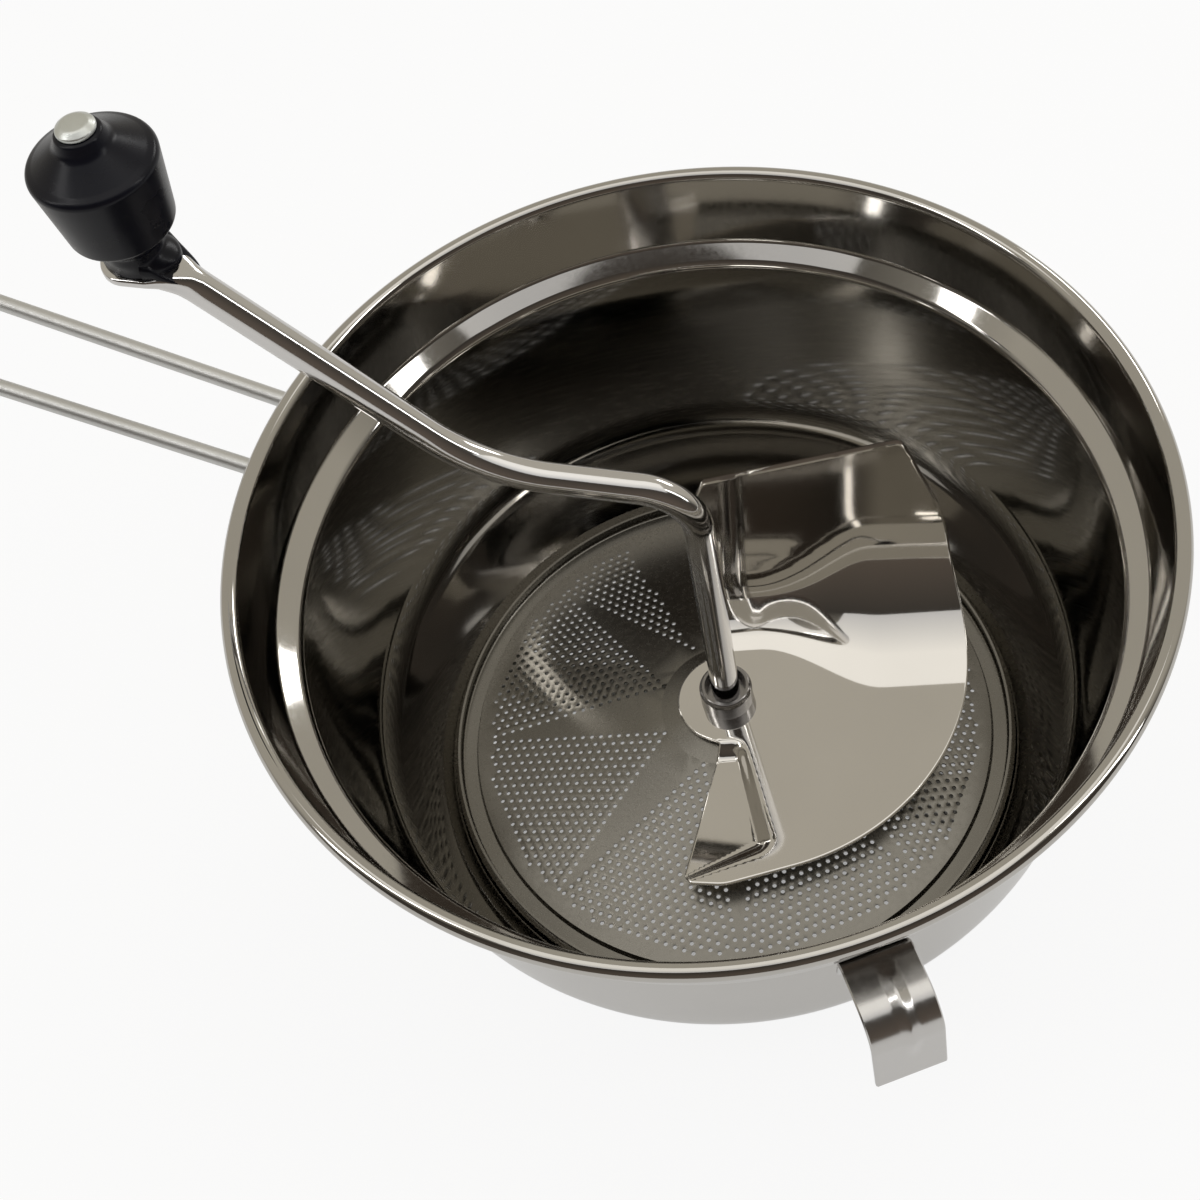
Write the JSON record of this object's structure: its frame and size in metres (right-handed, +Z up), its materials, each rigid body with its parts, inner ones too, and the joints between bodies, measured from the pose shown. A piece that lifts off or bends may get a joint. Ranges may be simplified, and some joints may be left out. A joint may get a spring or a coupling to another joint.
{
  "type": "tomato strainer with crank",
  "caption": "Sheet steel tomato strainer: flared bowl with a perforated cone in its foot, a cranked rod with a curled pressing blade, wire loop handle and rest hooks.",
  "frame": {"origin": "on the bowl's axis, in the plane that the neck stands on", "axes": "+Z up along the crank shaft, the handle points to -X, the rest hooks are on the +X side"},
  "size_m": [0.337, 0.2138, 0.2143],
  "materials": {
    "bowl_steel": "mirror-polished stainless steel",
    "sieve_steel": "satin stainless steel, perforated",
    "blade_steel": "mirror-polished stainless steel",
    "rod_steel": "polished stainless steel",
    "wire_steel": "dull grey steel wire",
    "hook_steel": "polished steel strap",
    "satin_steel": "satin steel",
    "spring_steel": "drawn spring wire",
    "rivet_steel": "bright rivet",
    "black_plastic": "glossy blue-black moulding"
  },
  "bodies": {
    "root": {"bowl": "bowl_steel", "sieve_disc": "sieve_steel", "handle_bracket": "wire_steel", "handle_wire": "wire_steel", "rest_hook_front": "hook_steel", "rest_hook_rear": "hook_steel", "bar_lug_left": "satin_steel", "bar_lug_right": "satin_steel"},
    "bar": {"retaining_bar": "satin_steel"},
    "lift": {"spring_cup": "satin_steel", "pressure_spring": "spring_steel"},
    "crank": {"crank_rod": "rod_steel", "cross_pin": "satin_steel", "hub_collar": "rod_steel", "blade": "blade_steel", "knob_saddle": "black_plastic", "knob_pin": "rivet_steel"},
    "knob": {"knob_body": "black_plastic"}
  },
  "joints": [
    {"name": "bar_turn", "type": "hinge", "parent": "root", "child": "bar", "pos_m": [0, 0, 0.0158], "axis": [0, 0, 1], "range_deg": [0, 60]},
    {"name": "crank_lift", "type": "slide", "parent": "root", "child": "lift", "axis": [0, 0, 1], "range_m": [0, 0.0035], "stiffness_N_per_m": 2000, "springref_m": -0.006, "deforming": ["pressure_spring"]},
    {"name": "crank_spin", "type": "hinge", "parent": "lift", "child": "crank", "pos_m": [0, 0, 0.02], "axis": [0, 0, 1], "continuous": true},
    {"name": "knob_spin", "type": "hinge", "parent": "crank", "child": "knob", "pos_m": [-0.10464, -0.01695, 0.195], "axis": [0, 0, 1], "continuous": true}
  ]
}
